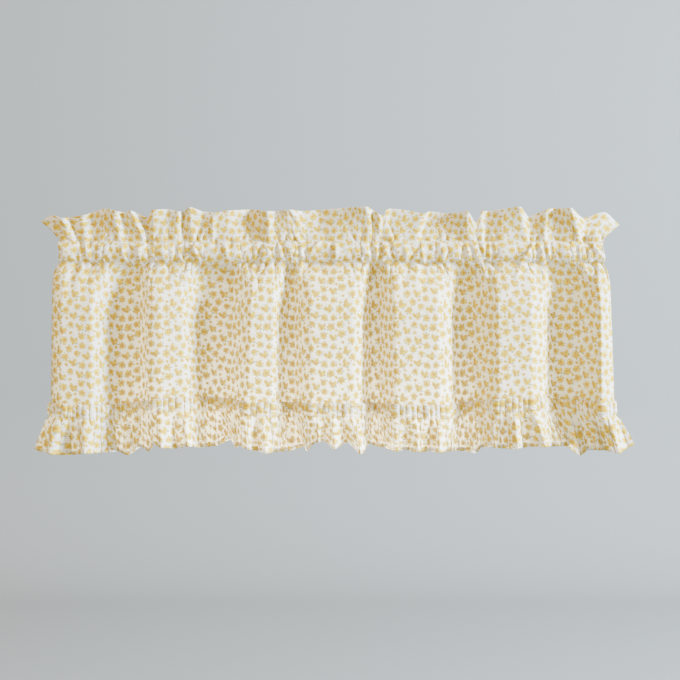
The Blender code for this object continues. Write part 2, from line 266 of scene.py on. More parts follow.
class Swing(NamedTuple):
    """A slow sine along the cloth."""

    size: float
    pitch: float
    shift: float

    def at(self, place: Array, pitch: float = 1.0, seed: float = 1.0) -> Array:
        """The sine at some places, with its own pitch and shift times these."""
        return self.size * np.sin(2 * math.pi * place / (self.pitch * pitch) + self.shift * seed)


# How gathers wander: pitches are in the gathers' own pitch, and shifts are multiplied by their seed.
GATHER_WANDERS = (Swing(0.55, 3.7, 1.0), Swing(0.5, 6.1, 2.3))
GATHER_HEIGHT = 0.74
GATHER_SWELL = Swing(0.26, 2.6, 1.7)
GATHER_ROUNDNESS = 0.7
GATHER_VALLEY = 1.3


def uneven_wave(length: Array, pitch: float, seed: float) -> tuple[Array, Array]:
    """A row of round crowns with tight valleys, whose pitch and height wander as hand-pushed gathers do.

    Args:
        length: Length along the flat cloth, in metres.
        pitch: The wave's mean pitch, in metres.
        seed: Shifts the wandering, so that two waves differ.

    Returns:
        The wave's height at each length, and how far its crowns lean out over the valleys, from -1 to 1.
    """
    wander = sum(swing.at(length, pitch, seed) for swing in GATHER_WANDERS)
    height = GATHER_HEIGHT + GATHER_SWELL.at(length, pitch, seed)
    phase = math.pi * length / pitch + wander
    crown = np.abs(np.sin(phase)) ** GATHER_ROUNDNESS
    return height * (crown * 2 - GATHER_VALLEY), -height * np.sin(2 * phase)


@dataclass
class Drape:
    """The middle surface of the gathered cloth, by its share of the width and its drop from the top."""

    upper_stitch: float = 51 * MM
    lower_stitch: float = 84 * MM
    band_top: float = 296 * MM
    layer_half_gap: float = 0.8 * MM
    pocket_half_depth: float = 8.5 * MM
    pocket_swell: float = 2.5 * MM
    pocket_gathers: float = 0.85
    pocket_roundness: float = 2.4
    pocket_squareness: float = 0.75
    stitch_pucker: float = 2.0 * MM
    stitch_wobble: float = 0.7
    upper_wobble: float = 0.6
    wobble_reach: float = 8 * MM
    pucker_fade: float = 34 * MM
    pucker_snap: float = 2.6
    bulge_fade: float = 75 * MM
    bulge_ease: float = 0.8
    fold_softness: float = 3.5 * MM
    frill_softness: float = 2.5 * MM
    frill_depth: float = 1.15
    crease_strength: float = 1.4
    crease_fade: float = 6 * MM
    crease_reach: float = 0.2
    bunch_spread: float = 60 * MM
    frill_ease: float = 1.3
    foot_ease: float = 1.5
    gather_pitch: float = 27 * MM
    gather_fullness: float = 0.95
    gather_overhang: float = 0.17
    gather_seeds: Pair = (1.0, 1.4)
    back_seed: float = 1.5
    # Each slant's size, and its lengths across and down, in metres.
    gather_slants: tuple[Triple, ...] = ((5 * MM, 14 * MM, 9 * MM), (4 * MM, 8.5 * MM, -6 * MM))
    frill_reach: float = 9 * MM
    panel_reach: float = 24 * MM
    least_slack: float = 0.03
    loose_crowding: float = 1.6
    loose_height: float = 0.35
    pinch_reach: float = 4 * MM
    pinched: float = 0.45
    sample: float = 1 * MM
    share_step: float = 6e-4
    drop_step: float = 0.3 * MM

    def __post_init__(self) -> None:
        """Works out the curves of the frill, the panel, the foot and the gathers from the tables."""
        frill = np.array(FRILL_TURNS) * MM
        stitch_x = frill[:, 1]
        self.frill_shift = smooth_curve(stitch_x, frill[:, 0] - stitch_x)
        self.dip = smooth_curve(stitch_x, frill[:, 3])
        self.frill_x = np.arange(stitch_x[0], stitch_x[-1], self.sample)
        creased = self.frill_depth * np.interp(self.frill_x, stitch_x, frill[:, 2])
        self.frill_forward = soften(creased, self.frill_softness, self.sample)
        self.pucker = smooth_curve(stitch_x, np.sign(frill[:, 2]))
        lifts = np.array(FOOT_LIFTS) * MM
        self.lift = smooth_curve(lifts[:, 0], lifts[:, 1])

        turns = np.array(PANEL_TURNS) * MM
        runs = np.hypot(np.diff(turns[:, :2].mean(axis=1)), np.diff(turns[:, 2]))
        along = np.concatenate(([0], np.cumsum(runs)))
        samples = np.arange(0, along[-1], self.sample)
        path = [np.interp(samples, along, values) for values in turns.T]
        self.top_x, self.foot_x, self.forward = (soften(v, self.fold_softness, self.sample) for v in path)
        steps = np.hypot(np.diff((self.top_x + self.foot_x) / 2), np.diff(self.forward))
        self.shares = np.concatenate(([0], np.cumsum(steps))) / steps.sum()
        self.width = float(steps.sum())
        bunched = soften(self.top_x, self.bunch_spread, self.sample)
        self.stitch_x = np.interp(bunched, (bunched[0], bunched[-1]), (stitch_x[0], stitch_x[-1]))
        crowding = self.width * np.gradient(self.shares) / np.gradient(self.stitch_x)
        pitch_in_place = self.gather_pitch / crowding
        slack = np.sqrt(np.maximum(crowding - 1, self.least_slack))
        crowded = smoothstep((crowding - 1) / (self.loose_crowding - 1))
        slack = slack * mix(self.loose_height, 1.0, crowded)
        self.gather_lean = self.gather_overhang * self.gather_pitch / self.width * crowded
        self.gather_height = self.gather_fullness * pitch_in_place / math.pi * slack

    def at(self, values: Array, share: Array) -> Array:
        """The value at a share of the cloth's width, carried on straight past its edges."""
        inside = np.clip(share, 0, 1)
        value = np.interp(inside, self.shares, values)
        slope = np.where(share < inside, values[1] - values[0], values[-1] - values[-2])
        return value + (share - inside) * slope * len(self.shares)

    def gathers(self, share: Array, drop: Array, seed: float = 0.0) -> tuple[Array, Array]:
        """The small gathers about the stitching.

        Args:
            share: Shares of the cloth's width.
            drop: Drops below the frill's highest point, in metres.
            seed: Shifts the gathers, so that two layers differ.

        Returns:
            Their heights in metres, and how far they push the cloth aside as shares of its width.
        """
        cloth = share * self.width
        slant = sum(size * np.sin(cloth / across + drop / down) for size, across, down in self.gather_slants)
        upper = uneven_wave(cloth + slant, self.gather_pitch, self.gather_seeds[0] + seed)
        lower = uneven_wave(cloth - slant, self.gather_pitch, self.gather_seeds[1] + seed)
        turned = smoothstep((drop - self.upper_stitch) / (self.lower_stitch - self.upper_stitch))
        height, lean = (mix(a, b, turned) for a, b in zip(upper, lower))
        return self.at(self.gather_height, share) * height, self.at(self.gather_lean, share) * lean

    def pushed(self, share: Array, drop: Array) -> Array:
        """The shares of the width over which the gathers' crowns lean."""
        above = self.gather_fade(np.maximum(self.upper_stitch - drop, 0), self.frill_reach)
        below = self.gather_fade(np.maximum(drop - self.lower_stitch, 0), self.panel_reach)
        inside = mix(self.pinched, 1.0, self.opening(drop))
        in_pocket = (drop > self.upper_stitch) & (drop <= self.lower_stitch)
        return share + self.gathers(share, drop)[1] * np.where(in_pocket, inside, np.minimum(above, below))

    def gather_fade(self, distance: Array, reach: float) -> Array:
        """How much of the gathers' height is left at a distance from their stitching, which pinches them."""
        free = mix(self.pinched, 1.0, smoothstep(distance / self.pinch_reach))
        return free * np.exp(-np.maximum(distance - self.pinch_reach, 0) / reach)

    def opening(self, drop: Array) -> Array:
        """How far the pocket is open at a drop, from 0 at its two stitch lines to 1 in the middle."""
        middle = (self.upper_stitch + self.lower_stitch) / 2
        half_height = (self.lower_stitch - self.upper_stitch) / 2
        from_middle = np.clip(np.abs(drop - middle) / half_height, 0, 1)
        return (1 - from_middle**self.pocket_roundness) ** self.pocket_squareness

    def middle(self, share: Array, drop: Array, leaning: bool = True) -> Array:
        """Points of the middle surface.

        Args:
            share: Shares of the cloth's width, from its left edge.
            drop: Drops below the frill's highest point, in metres.
            leaning: Whether the gathers' crowns lean out over their valleys.

        Returns:
            An array of points, with x, y and z last.
        """
        share, drop = np.broadcast_arrays(share, drop)
        small = self.gathers(share, drop)[0]
        share = self.pushed(share, drop) if leaning else share
        stitch_x = self.at(self.stitch_x, share)
        pucker = self.stitch_pucker * self.pucker(stitch_x)

        height = np.clip(1 - drop / self.upper_stitch, 0, 1)
        ease = height**self.frill_ease
        above = self.upper_stitch - drop
        frill_x = stitch_x + self.frill_shift(stitch_x) * ease
        frill_forward = mix(pucker, np.interp(stitch_x, self.frill_x, self.frill_forward), ease)
        frill_forward = frill_forward + small * self.gather_fade(np.maximum(above, 0), self.frill_reach)
        top_z = -self.dip(stitch_x)
        frill_z = np.where(drop > 0, mix(-self.upper_stitch, top_z, height), top_z - drop)

        shut = 1 - self.opening(drop)
        pocket_forward = (pucker + self.pinched * small) * shut

        below = drop - self.lower_stitch
        down = below / (self.band_top - self.lower_stitch)
        loose = 1 - (1 - np.clip(below / self.pucker_fade, 0, 1)) ** self.pucker_snap
        out = smoothstep(below / self.bulge_fade) ** self.bulge_ease
        hanging_x = mix(self.at(self.top_x, share), self.at(self.foot_x, share), down)
        panel_x = mix(stitch_x, hanging_x, loose)
        fading = self.gather_fade(np.maximum(below, 0), self.panel_reach)
        forward = self.at(self.forward, share)
        panel_forward = mix(pucker, forward, np.where(forward > pucker, out, loose)) + small * fading
        panel_z = self.lift(panel_x) * np.clip(down, 0, 1) ** self.foot_ease - drop

        in_frill, in_pocket = drop <= self.upper_stitch, drop <= self.lower_stitch
        x = np.where(in_frill, frill_x, np.where(in_pocket, stitch_x, panel_x))
        forward = np.where(in_frill, frill_forward, np.where(in_pocket, pocket_forward, panel_forward))
        z = np.where(in_frill, frill_z, np.where(in_pocket, -drop, panel_z))
        near_lower = np.exp(-((below / self.wobble_reach) ** 2))
        near_upper = np.exp(-((above / self.wobble_reach) ** 2))
        z = z + self.stitch_wobble * small * (near_lower - self.upper_wobble * near_upper)
        return np.stack((x, -forward, z), axis=-1)

    def normal(self, share: Array, drop: Array) -> Array:
        """Unit normals on the front side, as an array with x, y and z last."""
        share = self.pushed(share, drop)
        right, left = (self.middle(share + step, drop, False) for step in (self.share_step, -self.share_step))
        lower, upper = (self.middle(share, drop + step, False) for step in (self.drop_step, -self.drop_step))
        return unit(np.cross(right - left, upper - lower))

    def creases(self, x: Array, drop: Array) -> Array:
        """How far the listed creases raise the cloth at each x and drop, in metres."""
        raised = np.zeros(np.broadcast(x, drop).shape)
        for crease in CREASES:
            top_x, foot_x, height, width, top, foot = (value * MM for value in crease)
            along = (drop - top) / (foot - top)
            reached = np.clip(along, -self.crease_reach, 1 + self.crease_reach)
            middle_x = mix(top_x, foot_x, reached)
            fade = self.crease_fade / (foot - top)
            window = smoothstep((along + fade) / (2 * fade)) * smoothstep((1 + fade - along) / (2 * fade))
            raised += height * window * np.exp(-(((x - middle_x) / width) ** 2))
        return self.crease_strength * raised

    def layer(self, share: Array, drop: Array, side: int, inset: Array | float = 0.0) -> Array:
        """Points of the front or back layer of the cloth.

        Args:
            share: Shares of the cloth's width.
            drop: Drops below the frill's highest point, in metres.
            side: FRONT or BACK.
            inset: How far the points lie on the wrong side of the cloth, in metres.

        Returns:
            An array of points, with x, y and z last.
        """
        share, drop, inset = np.broadcast_arrays(share, drop, inset)
        point = self.middle(share, drop)
        normal = self.normal(share, drop)
        opening = self.opening(drop)
        stitch_x = self.at(self.stitch_x, share)
        swell = self.pocket_swell * (1 + side * self.pucker(stitch_x)) / 2
        seed = 0.0 if side == FRONT else self.back_seed
        puff = self.pocket_gathers * self.gathers(share, drop, seed)[0]
        offset = self.layer_half_gap + opening * (self.pocket_half_depth - self.layer_half_gap + swell + puff)
        crease = self.creases(point[..., 0], drop) * (1 if side == FRONT else 1 - opening)
        return point + normal * (side * (offset - inset) + crease)[..., None]


def math_operator(operation: str, reflected: bool = False) -> Callable[["Sock", "Sock | float"], "Sock"]:
    """A method of Sock that adds a Math node.

    Args:
        operation: The node's operation.
        reflected: Whether the other value comes first.

    Returns:
        The method, which takes the other value and gives the node's output.
    """

    def method(self: "Sock", other: "Sock | float") -> "Sock":
        """The operation on self and the other value."""
        values = (other, self) if reflected else (self, other)
        return self.combined(operation, *values)

    return method


class Sock:
    """A node's output that stands in Python expressions; each operation adds a Math node."""

    def __init__(self, graph: "Graph", socket: bpy.types.NodeSocket) -> None:
        """Wraps a socket of a graph."""
        self.graph = graph
        self.socket = socket

    def combined(self, operation: str, *values: "Sock | float") -> "Sock":
        """The output of a Math node that works on these values."""
        return self.graph.out("ShaderNodeMath", 0, {"operation": operation}, dict(enumerate(values)))

    __add__ = math_operator("ADD")
    __radd__ = math_operator("ADD", reflected=True)
    __sub__ = math_operator("SUBTRACT")
    __rsub__ = math_operator("SUBTRACT", reflected=True)
    __mul__ = math_operator("MULTIPLY")
    __rmul__ = math_operator("MULTIPLY", reflected=True)
    __pow__ = math_operator("POWER")
    __lt__ = math_operator("LESS_THAN")
    least = math_operator("MINIMUM")
    most = math_operator("MAXIMUM")

    def __abs__(self) -> "Sock":
        """The value without its sign."""
        return self.combined("ABSOLUTE", self)

    def sine(self) -> "Sock":
        """The sine of an angle in radians."""
        return self.combined("SINE", self)

    def cosine(self) -> "Sock":
        """The cosine of an angle in radians."""
        return self.combined("COSINE", self)

    def angle_to(self, x: "Sock") -> "Sock":
        """The angle of the point (x, self), in radians."""
        return self.combined("ARCTAN2", self, x)

    def ease(self, start: float, end: float, low: float = 0.0, high: float = 1.0) -> "Sock":
        """A soft step from low at start to high at end."""
        settings = {"interpolation_type": "SMOOTHSTEP", "clamp": True}
        inputs = {"Value": self, "From Min": start, "From Max": end, "To Min": low, "To Max": high}
        return self.graph.out("ShaderNodeMapRange", "Result", settings, inputs)


class Graph:
    """The node tree of one material."""

    def __init__(self, name: str) -> None:
        """Starts the material of this name with no nodes."""
        self.material = bpy.data.materials.new(name)
        self.material.use_nodes = True
        self.tree = self.material.node_tree
        self.tree.nodes.clear()

    def node(self, kind: str, settings: Values = None, inputs: Values = None) -> bpy.types.Node:
        """Adds a node.

        Args:
            kind: The node's type.
            settings: Its own settings, which are set first.
            inputs: The value or link of each socket, by name or number.

        Returns:
            The node.
        """
        made = self.tree.nodes.new(kind)
        for name, value in (settings or {}).items():
            setattr(made, name, value)
        for key, value in (inputs or {}).items():
            socket = made.inputs[key]
            if isinstance(value, Sock):
                self.tree.links.new(value.socket, socket)
            else:
                socket.default_value = value
        return made

    def out(self, kind: str, output: str | int, settings: Values = None, inputs: Values = None) -> Sock:
        """Adds a node and gives one of its outputs, with the same arguments as node."""
        return Sock(self, self.node(kind, settings, inputs).outputs[output])

    def colour(self, factor: Sock | float, a: "Sock | tuple", b: "Sock | tuple") -> Sock:
        """The colour between a and b."""
        a, b = ((*colour, 1.0) if isinstance(colour, tuple) else colour for colour in (a, b))
        return self.out("ShaderNodeMix", 2, {"data_type": "RGBA"}, {0: factor, 6: a, 7: b})

    def vector(self, operation: str, *values: "Sock | tuple") -> Sock:
        """The vector that a Vector Math node gives."""
        return self.out("ShaderNodeVectorMath", "Vector", {"operation": operation}, dict(enumerate(values)))

    def length(self, vector: Sock) -> Sock:
        """The length of a vector."""
        return self.out("ShaderNodeVectorMath", "Value", {"operation": "LENGTH"}, {0: vector})

    def between(self, factor: Sock, a: Sock, b: Sock) -> Sock:
        """The vector between a and b."""
        return self.out("ShaderNodeMix", 1, {"data_type": "VECTOR"}, {0: factor, 4: a, 5: b})

    def parts(self, vector: Sock) -> tuple[Sock, Sock]:
        """The x and y of a vector."""
        split = self.node("ShaderNodeSeparateXYZ", None, {0: vector})
        return Sock(self, split.outputs[0]), Sock(self, split.outputs[1])

    def placed(self, vector: Sock, centre: Pair, turn: float, size: Pair) -> Sock:
        """A vector as seen from a centre, turned by degrees and measured in sizes."""
        inputs = {
            "Vector": vector,
            "Location": (*centre, 0.0),
            "Rotation": (0.0, 0.0, math.radians(turn)),
            "Scale": (*size, 1.0),
        }
        return self.out("ShaderNodeMapping", "Vector", {"vector_type": "TEXTURE"}, inputs)

    def noise(self, vector: Sock, scale: float, detail: float = 2.0, output: str = "Fac") -> Sock:
        """A noise over the cloth."""
        inputs = {"Vector": vector, "Scale": scale, "Detail": detail, "Roughness": NOISE_ROUGHNESS}
        return self.out("ShaderNodeTexNoise", output, {"noise_dimensions": "2D"}, inputs)

    def bump(self, strength: float, distance: float, height: Sock) -> Sock:
        """The normal of a surface with a fine relief."""
        inputs = {"Strength": strength, "Distance": distance, "Height": height}
        return self.out("ShaderNodeBump", 0, None, inputs)

    def finish(self, shader: Sock) -> Material:
        """The material, once its shader is on its output."""
        self.node("ShaderNodeOutputMaterial", None, {"Surface": shader})
        return self.material


class MotifKind(Enum):
    """The little plants of the print."""

    BLOSSOM = "blossom"
    SPRIG = "sprig"
    BUD = "bud"


class Motif(NamedTuple):
    """One plant in the print's repeat: its place and size in millimetres and its turn in degrees."""

    x: float
    y: float
    turn: float
    size: float


class Leaf(NamedTuple):
    """A pointed leaf or petal in its motif's size: its middle, turn, half length, half width and soft rim."""

    x: float
    y: float
    turn: float
    length: float
    width: float
    soft: float = 0.12


class Plant(NamedTuple):
    """The leaves that make one kind of motif: those of its ink, of its deep ink and of its green."""

    ink: tuple[Leaf, ...]
    deep: tuple[Leaf, ...]
    green: tuple[Leaf, ...]


MOTIFS = {
    MotifKind.BLOSSOM: (
        (57, 7, 0, 5.7), (10, 19, 130, 6.3), (37, 31, -60, 5.6), (57, 36, 10, 5.4), (13, 53, 60, 6.2),
        (67, 63, -100, 6.2), (15, 40, 0, 2.4), (39, 55, 50, 2.8), (33, 7, 0, 2.7), (11, 30, 30, 2.6),
        (47, 34, 50, 2.5), (24, 69, 20, 2.2), (5, 58, 10, 2.6), (11, 7, 0, 2.5),
    ),
    MotifKind.SPRIG: (
        (20, 9, -30, 6.8), (43, 11, 20, 6.6), (21, 28, -40, 7.0), (63, 21, 30, 6.8), (0, 48, 0, 6.4),
        (44, 44, -10, 6.8), (27, 59, -10, 6.5), (53, 64, 0, 6.6),
    ),
    MotifKind.BUD: (
        (1, 7, 130, 5.2), (31, 18, -30, 6.0), (49, 24, 50, 5.2), (1, 33, 120, 5.1), (29, 43, -50, 5.9),
        (56, 50, 170, 5.7), (11, 67, 90, 5.9), (39, 67, -20, 5.3),
    ),
}

BLOSSOM_LEAVES = (Leaf(0.78, -0.62, -35, 0.40, 0.20), Leaf(-0.86, 0.52, 150, 0.36, 0.18))

PLANTS = {
    MotifKind.SPRIG: Plant(
        ink=(
            Leaf(-0.42, 0.12, 122, 0.80, 0.46),
            Leaf(0.44, 0.02, 60, 0.74, 0.46),
            Leaf(-0.02, -0.52, 90, 0.56, 0.52),
        ),
        deep=(Leaf(-0.42, 0.10, 122, 0.56, 0.16, 0.3), Leaf(0.0, -0.5, 90, 0.34, 0.26, 0.3)),
        green=(Leaf(0.70, -0.62, 15, 0.38, 0.20),),
    ),
    MotifKind.BUD: Plant(
        ink=(
            Leaf(0.0, 0.22, 90, 0.84, 0.86),
            Leaf(0.60, -0.42, -28, 0.56, 0.36),
            Leaf(-0.56, -0.50, 205, 0.50, 0.32),
        ),
        deep=(Leaf(0.0, 0.08, 90, 0.46, 0.36, 0.3),),
        green=(Leaf(0.02, -0.86, 92, 0.38, 0.20),),
    ),
}


@dataclass(frozen=True)
class PrintedCotton:
    """Light plain-weave cotton with a small golden print; lengths are in millimetres of flat cloth."""

    name: str = "printed_cotton"
    ground: Triple = (0.89, 0.87, 0.825)
    petal: Triple = (0.69, 0.52, 0.0)
    petal_deep: Triple = (0.43, 0.225, 0.0)
    leaf: Triple = (0.22, 0.25, 0.10)
    glow: Triple = (0.95, 0.79, 0.42)
    repeat: float = 70.0
    petals: int = 5
    petal_waist: float = 0.66
    petal_reach: float = 0.38
    petal_roundness: float = 0.7
    petal_rim: Pair = (-0.06, 0.08)
    heart_rim: Pair = (0.46, 0.18)
    vein_width: Pair = (0.5, 1.0)
    vein_reach: Pair = (0.85, 0.4)
    vein_depth: float = 0.8
    tremble_scale: float = 0.33
    tremble: float = 2.2
    speck_scale: float = 0.55
    speck_rim: Pair = (0.59, 0.64)
    speck_clear: Pair = (1.45, 1.15)
    patch_scale: float = 0.05
    patch_shade: float = 0.97
    wash_scale: float = 0.24
    wash_range: Pair = (0.40, 0.60)
    wash_share: float = 0.65
    deep_share: float = 0.6
    grain_scale: float = 0.8
    grain_range: tuple[float, ...] = (0.34, 0.50, 0.90, 1.0)
    leaf_strength: float = 0.85
    thread_pitch: float = 0.42
    slub_scales: Pair = (0.05, 1.6)
    slub_shade: float = 0.07
    weave_shade: float = 0.025
    slub_relief: float = 1.5
    weave_relief: float = 0.5
    bump: Pair = (0.35, 0.0002)
    roughness: float = 0.86
    patch_roughness: float = 0.08
    specular: float = 0.08
    sheerness: float = 0.24
    ink_density: float = 0.90

    def motif_field(self, graph: Graph, cloth: Sock, kind: MotifKind) -> Sock:
        """The vector from the nearest motif of a kind, in that motif's own turn and size.

        Args:
            graph: The material's node tree.
            cloth: Millimetres on the flat cloth.
            kind: Which of the motifs.

        Returns:
            A vector whose length is 1 at the motif's rim.
        """
        half = self.repeat / 2
        fields = []
        for motif in (Motif(*row) for row in MOTIFS[kind]):
            high = (motif.x + half, motif.y + half, 1.0)
            low = (motif.x - half, motif.y - half, -1.0)
            tiled = graph.vector("WRAP", cloth, high, low)
            local = graph.placed(tiled, (motif.x, motif.y), motif.turn, (motif.size, motif.size))
            fields.append((local, graph.length(local)))
        best, best_length = fields[0]
        for local, length in fields[1:]:
            best = graph.between(length < best_length, best, local)
            best_length = best_length.least(length)
        return best

    def leaves(self, graph: Graph, local: Sock, leaves: tuple[Leaf, ...]) -> Sock:
        """The mask of some pointed leaves.

        Args:
            graph: The material's node tree.
            local: The vector from the motif's middle.
            leaves: The leaves.

        Returns:
            1 inside the leaves and 0 outside.
        """
        masks = []
        for leaf in leaves:
            place = graph.placed(local, (leaf.x, leaf.y), leaf.turn, (leaf.length, leaf.width))
            along, across = graph.parts(place)
            masks.append((1 - along * along - abs(across)).ease(-leaf.soft, leaf.soft))
        return reduce(Sock.most, masks)

    def blossom(self, graph: Graph, cloth: Sock) -> tuple[Sock, ...]:
        """The ink, deep ink and green of the five-petalled flowers, and the distance from the nearest."""
        local = self.motif_field(graph, cloth, MotifKind.BLOSSOM)
        x, y = graph.parts(local)
        radius = graph.length(local)
        lobe = abs((y.angle_to(x) * (self.petals / 2)).cosine())
        rim = self.petal_waist + self.petal_reach * lobe**self.petal_roundness
        ink = (rim - radius).ease(*self.petal_rim)
        veins = (1 - lobe).ease(*self.vein_width) * radius.ease(*self.vein_reach)
        deep = radius.ease(*self.heart_rim).most(self.vein_depth * veins)
        return ink, deep, self.leaves(graph, local, BLOSSOM_LEAVES), radius

    def plant(self, graph: Graph, cloth: Sock, kind: MotifKind) -> tuple[Sock, ...]:
        """The ink, deep ink and green of the sprigs or the buds, and the distance from the nearest."""
        local = self.motif_field(graph, cloth, kind)
        masks = (self.leaves(graph, local, leaves) for leaves in PLANTS[kind])
        return *masks, graph.length(local)

    def build(self) -> Material:
        """The cloth's material."""
        graph = Graph(self.name)
        metres = graph.out("ShaderNodeUVMap", 0, {"uv_map": "Print"})
        flat = graph.vector("MULTIPLY", metres, (1 / MM, 1 / MM, 0.0))
        tremble = graph.noise(flat, self.tremble_scale, 3.0, "Color")
        tremble = graph.vector("SUBTRACT", tremble, (0.5, 0.5, 0.5))
        tremble = graph.vector("MULTIPLY", tremble, (self.tremble, self.tremble, 0.0))
        cloth = graph.vector("ADD", flat, tremble)

        plants = [self.plant(graph, cloth, kind) for kind in PLANTS]
        inks, deeps, greens, reaches = zip(self.blossom(graph, cloth), *plants)
        ink = reduce(Sock.most, inks)
        deep = reduce(Sock.most, deeps)
        reach = reduce(Sock.least, reaches)
        specks = graph.noise(flat, self.speck_scale, 1.0).ease(*self.speck_rim)
        specks = specks * reach.ease(*self.speck_clear)
        leaf = reduce(Sock.most, (*greens, specks)) * (1 - ink)

        patch = graph.noise(flat, self.patch_scale)
        wash = graph.noise(flat, self.wash_scale)
        grain = graph.noise(flat, self.grain_scale, 1.0)
        slow, quick = self.slub_scales
        stretches = ((slow, quick, 0.0), (quick, slow, 0.0))
        slubs = [graph.noise(graph.vector("MULTIPLY", flat, stretch), 1.0, 1.0) for stretch in stretches]
        slub = slubs[0] + slubs[1] - 1
        turn = 2 * math.pi / self.thread_pitch
        x, y = graph.parts(flat)
        weave = (x * turn).sine() * (y * turn).sine()

        faded = tuple(channel * self.patch_shade for channel in self.ground)
        ground = graph.colour(patch, faded, self.ground)
        tone = self.wash_share * wash.ease(*self.wash_range) + self.deep_share * deep
        petal = graph.colour(tone.least(1.0), self.petal, self.petal_deep)
        printed = graph.colour(ink * grain.ease(*self.grain_range), ground, petal)
        printed = graph.colour(leaf * self.leaf_strength, printed, self.leaf)
        shade = 1 + self.slub_shade * slub + self.weave_shade * weave
        grey = graph.out("ShaderNodeCombineXYZ", 0, None, {0: shade, 1: shade, 2: shade})

        relief = graph.bump(*self.bump, self.weave_relief * weave + self.slub_relief * slub)
        surface = {
            "Base Color": graph.vector("MULTIPLY", printed, grey),
            "Roughness": self.roughness + self.patch_roughness * patch,
            "Normal": relief,
            "Specular IOR Level": self.specular,
        }
        face = graph.out("ShaderNodeBsdfPrincipled", 0, None, surface)
        inside = {"Color": (*self.glow, 1.0), "Normal": relief}
        through = graph.out("ShaderNodeBsdfTranslucent", 0, None, inside)
        factor = self.sheerness * (1 - self.ink_density * ink.most(leaf))
        return graph.finish(graph.out("ShaderNodeMixShader", 0, None, {0: factor, 1: face, 2: through}))


@dataclass(frozen=True)
class SewingThread:
    """White spun thread with its twist, with painted shade darkening the hollows between its plies."""

    name: str = "sewing_thread"
    tint: Triple = (0.88, 0.86, 0.80)
    painted_shade_in_hollows: float = 0.9
    twist_pitch: float = 0.5
    bump: Pair = (0.3, 0.0001)
    roughness: float = 0.6

    def build(self) -> Material:
        """The thread's material."""
        graph = Graph(self.name)
        metres = graph.out("ShaderNodeTexCoord", "Object")
        x, _ = graph.parts(graph.vector("MULTIPLY", metres, (1 / MM, 1 / MM, 1 / MM)))
        twist = (x * (2 * math.pi / self.twist_pitch)).sine()
        # Painted shade: the colour is darkened in the twist's hollows, where the plies shade each other.
        painted_hollow_colour = tuple(channel * self.painted_shade_in_hollows for channel in self.tint)
        colour = graph.colour(0.5 + 0.5 * twist, painted_hollow_colour, self.tint)
        relief = graph.bump(*self.bump, twist)
        inputs = {"Base Color": colour, "Roughness": self.roughness, "Normal": relief}
        return graph.finish(graph.out("ShaderNodeBsdfPrincipled", 0, None, inputs))


@dataclass(frozen=True)
class StudioPaper:
    """The matt paper of the floor and the backdrop."""

    name: str = "studio_paper"
    tint: Triple = (0.255, 0.275, 0.29)
    mottle_shade: float = 0.985
    mottle_scale: float = 1.5
    roughness: float = 0.95

    def build(self) -> Material:
        """The paper's material."""
        graph = Graph(self.name)
        metres = graph.out("ShaderNodeTexCoord", "Object")
        inputs = {"Vector": metres, "Scale": self.mottle_scale, "Detail": 2.0}
        mottle = graph.out("ShaderNodeTexNoise", "Fac", None, inputs)
        colour = graph.colour(mottle, tuple(channel * self.mottle_shade for channel in self.tint), self.tint)
        inputs = {"Base Color": colour, "Roughness": self.roughness}
        return graph.finish(graph.out("ShaderNodeBsdfPrincipled", 0, None, inputs))


def linked(name: str, data: bpy.types.ID) -> Piece:
    """A new object of some data, linked to the scene."""
    made = bpy.data.objects.new(name, data)
    bpy.context.scene.collection.objects.link(made)
    return made


def mesh_object(name: str, vertices: list, faces: list, material: Material) -> Piece:
    """A smooth mesh of one material, linked to the scene."""
    mesh = bpy.data.meshes.new(name)
    mesh.from_pydata(vertices, [], faces)
    mesh.materials.append(material)
    mesh.shade_smooth()
    return linked(name, mesh)


def sheet_object(name: str, points: Array, flat: Array, material: Material) -> Piece:
    """A cloth made of a grid of points.

    Args:
        name: The piece's name.
        points: Rows by columns of points.
        flat: Rows by columns of places on the flat cloth, in metres.
        material: The cloth's material.

    Returns:
        The piece, linked to the scene.
    """
    rows, columns = points.shape[:2]
    corner = np.arange(rows * columns).reshape(rows, columns)
    corners = (corner[:-1, :-1], corner[:-1, 1:], corner[1:, 1:], corner[1:, :-1])
    quads = np.stack(corners, axis=-1).reshape(-1, 4)
    piece = mesh_object(name, points.reshape(-1, 3).tolist(), quads.tolist(), material)
    low = flat.reshape(-1, 2).min(axis=0)
    span = flat.reshape(-1, 2).max(axis=0) - low
    baked = BAKE_MARGIN + (1 - 2 * BAKE_MARGIN) * (flat - low) / span
    for layer_name, places in (("OFBake", baked), ("Print", flat)):
        layer = piece.data.uv_layers.new(name=layer_name)
        layer.data.foreach_set("uv", places.reshape(-1, 2)[quads.reshape(-1)].reshape(-1))
    piece.data.uv_layers.active_index = 0
    piece.data.uv_layers["OFBake"].active_render = True
    return piece


